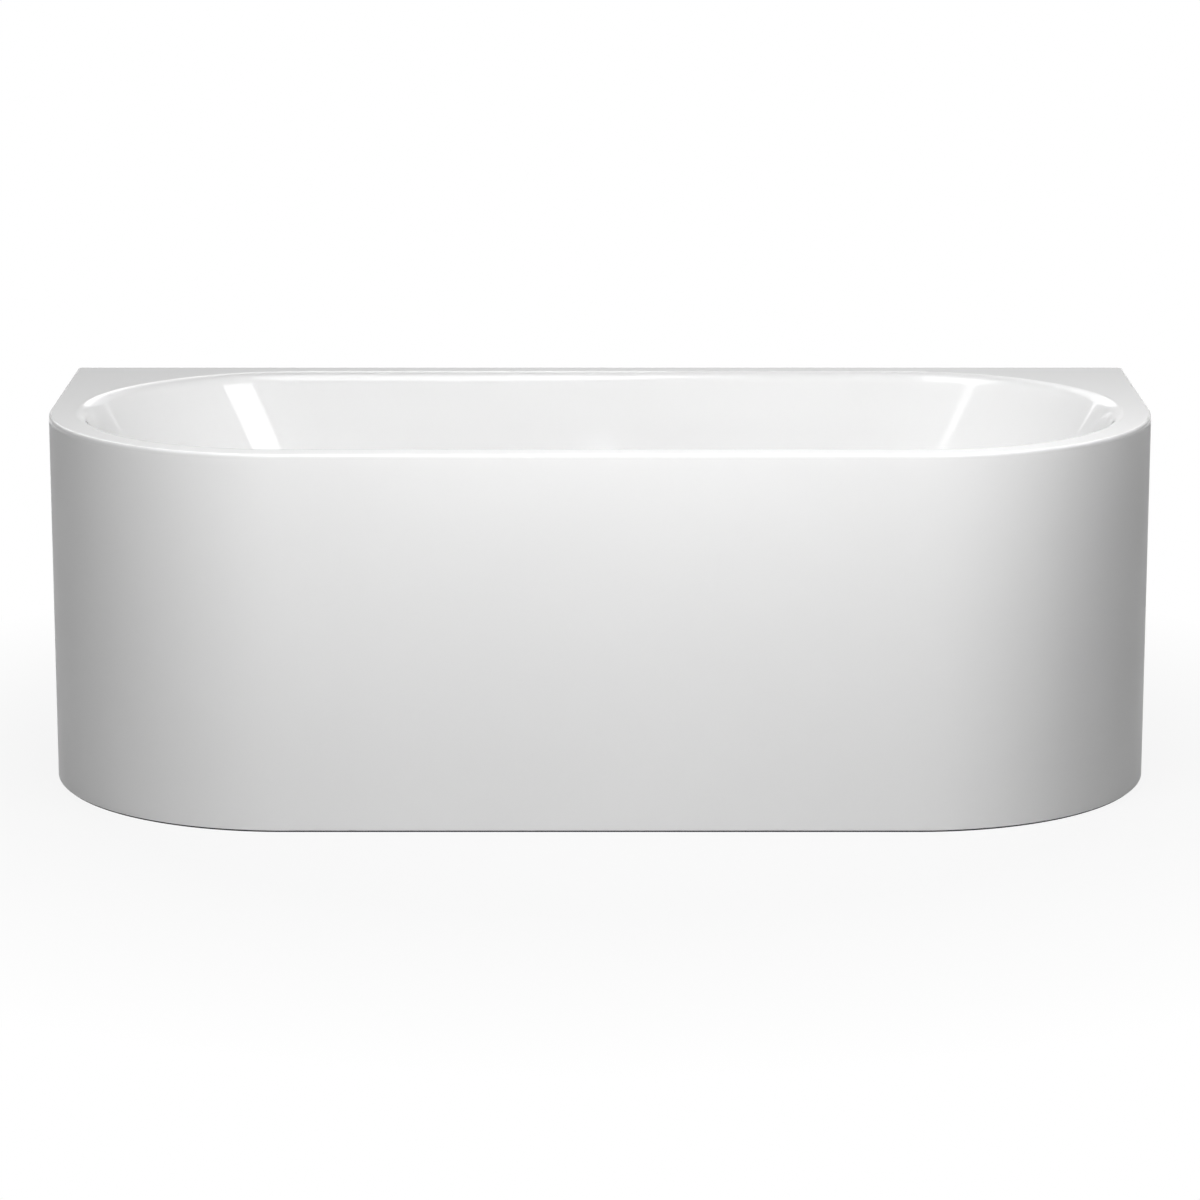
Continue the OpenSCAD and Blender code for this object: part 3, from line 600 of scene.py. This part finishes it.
def threaded_steel():
    """Zinc-plated rod with its thread as a fine relief along Z, and painted shade on the thread: the colour
    is darker in the grooves and lighter on the crests
    """
    finish = Finish("threaded_steel", metallic=1.0)
    thread_relief_and_painted_shade = finish.nodes.new("ShaderNodeTexWave")
    thread_relief_and_painted_shade.wave_type = "BANDS"
    thread_relief_and_painted_shade.bands_direction = "Z"
    thread_relief_and_painted_shade.inputs["Scale"].default_value = 2 * math.pi / (PHASE_AT_SCALE_ONE * THREAD_PITCH)
    finish.links.new(finish.place, thread_relief_and_painted_shade.inputs["Vector"])
    # Painted shade and painted highlight: the colour follows the thread's bands, darker in the grooves and
    # lighter on the crests
    finish.colours(thread_relief_and_painted_shade.outputs["Fac"], (0.30, 0.30, 0.31), (0.66, 0.66, 0.68))
    finish.roughness(finish.grain(120.0, low=0.28, high=0.42))
    finish.bump(thread_relief_and_painted_shade.outputs["Fac"], strength=0.9, distance=0.0006)
    return finish.material


def drawn_aluminium():
    """Mill finish with fine lines along the section"""
    finish = Finish("drawn_aluminium", metallic=1.0)
    lines = finish.stretched((1, 1, 25))
    finish.colours(finish.grain(30.0, 0, 1, vector=lines), (0.62, 0.63, 0.65), (0.72, 0.73, 0.75))
    finish.roughness(finish.grain(50.0, low=0.30, high=0.42, vector=lines))
    finish.bump(finish.grain(80.0, 0, 1, vector=lines), strength=0.08, distance=0.0001)
    return finish.material


def rough_timber(colour):
    """Long grain along the bath"""
    finish = Finish("rough_timber")
    fibres = finish.stretched((1.5, 28, 28))
    finish.colours(finish.grain(3.0, 0, 1, detail=6.0, vector=fibres), shade(colour, 0.6), shade(colour, 1.2))
    finish.roughness(finish.grain(6.0, low=0.62, high=0.80, vector=fibres))
    finish.bump(finish.grain(9.0, 0, 1, detail=6.0, vector=fibres), strength=0.35, distance=0.0006)
    return finish.material


def moulded_plastic(name, colour):
    """Plastic with a fine moulded grain"""
    finish = Finish(name)
    finish.colours(finish.grain(12.0, 0, 1), shade(colour, 0.94), shade(colour, 1.03))
    finish.roughness(finish.grain(30.0, low=0.38, high=0.52))
    finish.bump(finish.grain(500.0, 0, 1), strength=0.12, distance=0.0001)
    return finish.material


def sizes_of(context):
    """The bath's sizes in the sidebar"""
    return context.scene.bath_sizes


def finishes_of(context):
    """The bath's colours in the sidebar"""
    return context.scene.bath_finishes


class BATH_OT_shell(bpy.types.Operator):
    """Basin, rim and lip as one smooth shell with its two holes"""

    bl_idname = "bath.shell"
    bl_label = "Tub shell"

    def execute(self, context):
        sizes = sizes_of(context)
        outlines = shell_outlines(sizes)
        shell, rings = extruded_rings("bath_shell", outlines, sizes.corner_steps, "NGON")
        select_ring_edges(shell, rings[-1])
        bpy.ops.mesh.edge_face_add()
        finish_mesh(shell)
        depth = 8 * sizes.shell_thickness
        basin = Basin(sizes)
        cut_round(shell, Vector((0, 0, basin.floor_z)), sizes.waste_hole, depth, Matrix.Identity(4))
        centre = (COVER_LOW + COVER_HIGH) / 2
        cut_round(shell, centre, sizes.overflow_hole, 2 * depth, wall_frame(sizes))
        bpy.ops.object.shade_smooth_by_angle(angle=SMOOTH_ANGLE)
        settle(shell, "bath", ["tub_shell"], glossy_acrylic(finishes_of(context).acrylic))
        return {"FINISHED"}


class BATH_OT_panel(bpy.types.Operator):
    """Plain wrap-around panel with a softened lower edge"""

    bl_idname = "bath.panel"
    bl_label = "Apron panel"

    def execute(self, context):
        sizes = sizes_of(context)
        outlines = band_outlines(
            sizes, 0.0, sizes.panel_thickness, PANEL_LOW.z, PANEL_HIGH.z, sizes.panel_foot_radius)
        panel = band("bath_panel", outlines, sizes.corner_steps)
        settle(panel, "bath", ["apron_panel"], satin_acrylic(finishes_of(context).acrylic))
        return {"FINISHED"}


class BATH_OT_seal(bpy.types.Operator):
    """Dark strip set back under the panel"""

    bl_idname = "bath.seal"
    bl_label = "Base seal"

    def execute(self, context):
        sizes = sizes_of(context)
        inset = SHELL_HIGH.x - SEAL_HIGH.x
        foot = (SEAL_HIGH.z - SEAL_LOW.z) / 4
        outlines = band_outlines(sizes, inset, sizes.seal_thickness, SEAL_LOW.z, SEAL_HIGH.z, foot)
        seal = band("bath_seal", outlines, sizes.corner_steps)
        rubber = soft_rubber(finishes_of(context).rubber)
        settle(seal, "bath", ["base_seal"], rubber)
        for name in ("overflow_gasket", "upper_waste_gasket", "lower_waste_gasket", "plug_seal"):
            give(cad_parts[name], rubber)
        return {"FINISHED"}


class BATH_OT_brightwork(bpy.types.Operator):
    """Chrome plug cap and overflow cover, and the chrome and brass parts behind them"""

    bl_idname = "bath.brightwork"
    bl_label = "Plug and overflow"

    def execute(self, context):
        sizes = sizes_of(context)
        chrome = polished_chrome()
        cap_height = CAP_HIGH.z - CAP_LOW.z
        edge = cap_height / 3
        cap = domed_disc(
            "plug_button", CAP_HIGH.x, edge, cap_height - edge, edge / 4,
            Matrix.Translation((0, 0, CAP_LOW.z)))
        settle(cap, "plug", ["plug_cap"], chrome)
        centre = (COVER_LOW + COVER_HIGH) / 2
        thickness = sizes.cover_thickness
        turn = wall_frame(sizes)
        place = Matrix.Translation(centre) @ turn @ Matrix.Translation((0, 0, -thickness / 2))
        cover = domed_disc("overflow_rosette", COVER_HIGH.x, thickness, 0.0004, thickness / 4, place)
        settle(cover, "bath", ["overflow_cover"], chrome)
        for name in ("overflow_screw", "overflow_ring", "waste_flange"):
            give(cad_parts[name], chrome)
        brass = turned_brass()
        for name in ("plug_stem", "plug_cartridge"):
            give(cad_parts[name], brass)
        return {"FINISHED"}


class BATH_OT_timber(bpy.types.Operator):
    """Battens and base board in rough timber"""

    bl_idname = "bath.timber"
    bl_label = "Timber"

    def execute(self, context):
        timber = rough_timber(finishes_of(context).timber)
        for name in ("rim_battens", "base_board"):
            give(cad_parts[name], timber)
        return {"FINISHED"}


class BATH_OT_metalwork(bpy.types.Operator):
    """Rails, anchors, clips, screws, nuts, rods and the panel's track"""

    bl_idname = "bath.metalwork"
    bl_label = "Metalwork"

    def execute(self, context):
        steel = galvanised_steel()
        for name in ("panel_clips", "batten_screws", "wall_anchors", "foot_rails", "rail_screws",
                     "rail_nuts", "lock_nuts"):
            give(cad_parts[name], steel)
        rod_steel = threaded_steel()
        for number in FEET:
            give(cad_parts[f"foot_rod_{number}"], rod_steel)
        give(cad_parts["panel_frame"], drawn_aluminium())
        return {"FINISHED"}


class BATH_OT_plastics(bpy.types.Operator):
    """Pipes, trap, nuts and foot pads in moulded plastic"""

    bl_idname = "bath.plastics"
    bl_label = "Plastics"

    def execute(self, context):
        white = moulded_plastic("pipe_plastic", (0.74, 0.74, 0.72))
        grey = moulded_plastic("nut_plastic", (0.16, 0.17, 0.18))
        black = moulded_plastic("foot_plastic", (0.035, 0.035, 0.038))
        for name in ("overflow_body", "overflow_pipe", "waste_body", "trap_body", "outlet_pipe"):
            give(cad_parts[name], white)
        for name in ("pipe_nuts", "trap_cap"):
            give(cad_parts[name], grey)
        for number in FEET:
            give(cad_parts[f"foot_pad_{number}"], black)
        return {"FINISHED"}


def seen_directly(nodes, links):
    """1 for rays that show the background itself: to the camera, in a mirror or through glass"""
    path = nodes.new("ShaderNodeLightPath")
    total = path.outputs["Is Camera Ray"]
    for name in ("Is Glossy Ray", "Is Transmission Ray"):
        either = nodes.new("ShaderNodeMath")
        either.operation = "MAXIMUM"
        links.new(total, either.inputs[0])
        links.new(path.outputs[name], either.inputs[1])
        total = either.outputs[0]
    return total


# Distances from the floor's middle between which it turns plain white, and its share of white before that
FADE_START = 0.8
FADE_END = 1.5
LEAST_WHITE = 0.88


def floor_material(colour):
    """Pale floor that takes the object's shadow and turns plain white away from it"""
    material = bpy.data.materials.new("studio_floor")
    material.use_nodes = True
    nodes = material.node_tree.nodes
    links = material.node_tree.links
    shader = nodes["Principled BSDF"]
    shader.inputs["Base Color"].default_value = (*colour, 1)
    shader.inputs["Roughness"].default_value = 0.9
    shader.inputs["Specular IOR Level"].default_value = 0.0
    white = nodes.new("ShaderNodeEmission")
    white.inputs["Color"].default_value = (1, 1, 1, 1)
    place = nodes.new("ShaderNodeTexCoord")
    distance = nodes.new("ShaderNodeVectorMath")
    distance.operation = "LENGTH"
    links.new(place.outputs["Object"], distance.inputs[0])
    fade = nodes.new("ShaderNodeMapRange")
    fade.inputs["From Min"].default_value = FADE_START
    fade.inputs["From Max"].default_value = FADE_END
    fade.inputs["To Min"].default_value = LEAST_WHITE
    fade.inputs["To Max"].default_value = 1.0
    links.new(distance.outputs["Value"], fade.inputs["Value"])
    share = nodes.new("ShaderNodeMath")
    share.operation = "MULTIPLY"
    links.new(seen_directly(nodes, links), share.inputs[0])
    links.new(fade.outputs["Result"], share.inputs[1])
    mix = nodes.new("ShaderNodeMixShader")
    links.new(share.outputs[0], mix.inputs[0])
    links.new(shader.outputs[0], mix.inputs[1])
    links.new(white.outputs[0], mix.inputs[2])
    links.new(mix.outputs[0], nodes["Material Output"].inputs["Surface"])
    return material


def studio_world(fill):
    """White where it is seen, and a plain even fill for everything that it lights"""
    world = bpy.data.worlds.new("studio")
    bpy.context.scene.world = world
    world.use_nodes = True
    nodes = world.node_tree.nodes
    links = world.node_tree.links
    background = nodes["Background"]
    background.inputs["Color"].default_value = (1, 1, 1, 1)
    level = nodes.new("ShaderNodeMapRange")
    level.inputs["To Min"].default_value = fill
    level.inputs["To Max"].default_value = 1.0
    links.new(seen_directly(nodes, links), level.inputs["Value"])
    links.new(level.outputs["Result"], background.inputs["Strength"])


def softbox(name, place, target, size, power, card=False):
    """Area light at a place, turned to its target. A card is only seen mirrored, another lamp never is."""
    bpy.ops.object.light_add(type="AREA", location=place)
    lamp = bpy.context.object
    lamp.name = name
    lamp.data.shape = "RECTANGLE"
    lamp.data.size = size[0]
    lamp.data.size_y = size[1]
    lamp.data.energy = power
    lamp.rotation_euler = (Vector(place) - Vector(target)).to_track_quat("Z", "Y").to_euler()
    lamp.visible_diffuse = not card
    lamp.visible_glossy = card
    return lamp


def around(azimuth, elevation, distance, centre):
    """Place at an azimuth to the right of the camera's side and at an elevation, seen from a centre"""
    a = math.radians(azimuth)
    e = math.radians(elevation)
    away = Vector((math.sin(a) * math.cos(e), -math.cos(a) * math.cos(e), math.sin(e)))
    return Vector(centre) + away * distance


# Places on the bath that lamps and cards face
PANEL_TOP = (0.1, -0.3, 0.5)
PANEL_FACE = (0.1, -0.2, 0.45)
BASIN_LEFT = (-0.3, 0.2, 0.4)
RIGHT_WALL = (0.59, 0.29, 0.5)
LEFT_WALL = (-0.56, 0.29, 0.5)
BACK_EDGE = (-0.3, 0.32, 0.57)

FLOOR_SIZE = 40
WORLD_FILL = 0.01

# The window whose mirror image is the stripe on the basin's right wall, seen from that wall
WINDOW_AZIMUTH = -42.5
WINDOW_ELEVATION = 20
WINDOW_DISTANCE = 4.2
STRIPE_WIDTHS = (0.25, 0.4)
STRIPE_HEIGHT = 1.5
STRIPE_POWER_PER_WIDTH = 12


def light_bath():
    """Lamps for the panel and the basin, and two behind the bath for its back and its fittings"""
    softbox("key", (0.25, -1.1, 1.8), PANEL_TOP, size=(1.8, 0.6), power=22)
    softbox("low_key", (0.25, -1.5, 1.4), PANEL_TOP, size=(1.8, 0.6), power=6)
    softbox("front", (0.3, -3.2, 1.9), PANEL_FACE, size=(1.6, 0.8), power=12)
    softbox("high_right", (1.3, -0.7, 2.4), BASIN_LEFT, size=(0.8, 0.8), power=8)
    for side in (-1, 1):
        softbox("back", (side * 1.7, 2.9, 0.5), (side * 0.2, 0.2, 0.35), size=(1.5, 0.8), power=40)
    window = around(WINDOW_AZIMUTH, WINDOW_ELEVATION, WINDOW_DISTANCE, RIGHT_WALL)
    softbox("left", window, RIGHT_WALL, size=(0.6, 1.3), power=28)


def mirror_in_wall():
    """Cards whose mirror images are the two pale stripes on the basin's wall, one with soft sides"""
    for width in STRIPE_WIDTHS:
        place = around(WINDOW_AZIMUTH, WINDOW_ELEVATION, WINDOW_DISTANCE - 0.1 - width, RIGHT_WALL)
        power = STRIPE_POWER_PER_WIDTH * width
        softbox("left_card", place, RIGHT_WALL, size=(width, STRIPE_HEIGHT), power=power, card=True)
    place = around(36.8, 19.5, 5.0, LEFT_WALL)
    softbox("right_card", place, LEFT_WALL, size=(1.5, 1.5), power=50, card=True)


def mirror_in_edges():
    """Cards whose mirror images are the pale lines along the rounded edge at the wall"""
    softbox("ceiling_card", (-0.6, -1.0, 2.6), BACK_EDGE, size=(1.5, 2.4), power=68, card=True)
    softbox("behind_card", (0.0, 3.0, 2.85), (0.0, 0.0, 2.85), size=(3.8, 3.0), power=40, card=True)
    softbox("behind_left_card", (-0.9, 3.2, 2.95), (-0.9, 0.0, 2.95), size=(2.1, 3.0), power=22, card=True)


# The photograph's viewpoint, from the fit of camera and bath
CAMERA_DISTANCE = 6.389
CAMERA_HEIGHT = 1.808
CAMERA_PITCH = math.radians(12.799)
CAMERA_FOCUS_PIXELS = 4440.66
PHOTO_WIDTH_PIXELS = 1200
SENSOR_WIDTH = 36.0


def photograph_camera():
    """Camera in front of the panel's middle, at the photograph's distance, height and tilt"""
    bpy.ops.object.camera_add(
        location=(0, SHELL_LOW.y - CAMERA_DISTANCE, CAMERA_HEIGHT),
        rotation=(math.pi / 2 - CAMERA_PITCH, 0, 0))
    camera = bpy.context.object
    camera.data.sensor_width = SENSOR_WIDTH
    camera.data.lens = CAMERA_FOCUS_PIXELS / PHOTO_WIDTH_PIXELS * SENSOR_WIDTH
    return camera


class BATH_OT_stage(bpy.types.Operator):
    """White floor, soft studio light and the camera at the photograph's angle"""

    bl_idname = "bath.stage"
    bl_label = "Stage"

    def execute(self, context):
        deselect_everything()
        bpy.ops.mesh.primitive_plane_add(size=FLOOR_SIZE, location=(0, 0, 0))
        floor = context.object
        floor.name = "studio_floor"
        give(floor, floor_material(finishes_of(context).floor))
        studio_world(WORLD_FILL)
        deselect_everything()
        light_bath()
        mirror_in_wall()
        mirror_in_edges()
        context.scene.camera = photograph_camera()
        context.scene.view_settings.view_transform = "Standard"
        return {"FINISHED"}


class BATH_PT_sidebar(bpy.types.Panel):
    """Lists the bath's pieces and its sizes"""

    bl_idname = "BATH_PT_sidebar"
    bl_label = "Bathtub"
    bl_space_type = "VIEW_3D"
    bl_region_type = "UI"
    bl_category = "Bathtub"

    def draw(self, context):
        for operator in OPERATORS:
            self.layout.operator(operator.bl_idname)
        for group in (sizes_of(context), finishes_of(context)):
            for name in group.__annotations__:
                self.layout.prop(group, name)


OPERATORS = (
    BATH_OT_shell, BATH_OT_panel, BATH_OT_seal, BATH_OT_brightwork, BATH_OT_timber, BATH_OT_metalwork,
    BATH_OT_plastics, BATH_OT_stage,
)
CLASSES = (BathSizes, BathFinishes) + OPERATORS + (BATH_PT_sidebar,)


def register():
    for each in CLASSES:
        bpy.utils.register_class(each)
    bpy.types.Scene.bath_sizes = PointerProperty(type=BathSizes)
    bpy.types.Scene.bath_finishes = PointerProperty(type=BathFinishes)


def unregister():
    del bpy.types.Scene.bath_finishes
    del bpy.types.Scene.bath_sizes
    for each in reversed(CLASSES):
        bpy.utils.unregister_class(each)


def main():
    register()
    bpy.ops.bath.shell()
    bpy.ops.bath.panel()
    bpy.ops.bath.seal()
    bpy.ops.bath.brightwork()
    bpy.ops.bath.timber()
    bpy.ops.bath.metalwork()
    bpy.ops.bath.plastics()
    bpy.ops.bath.stage()


if __name__ == "__main__":
    main()
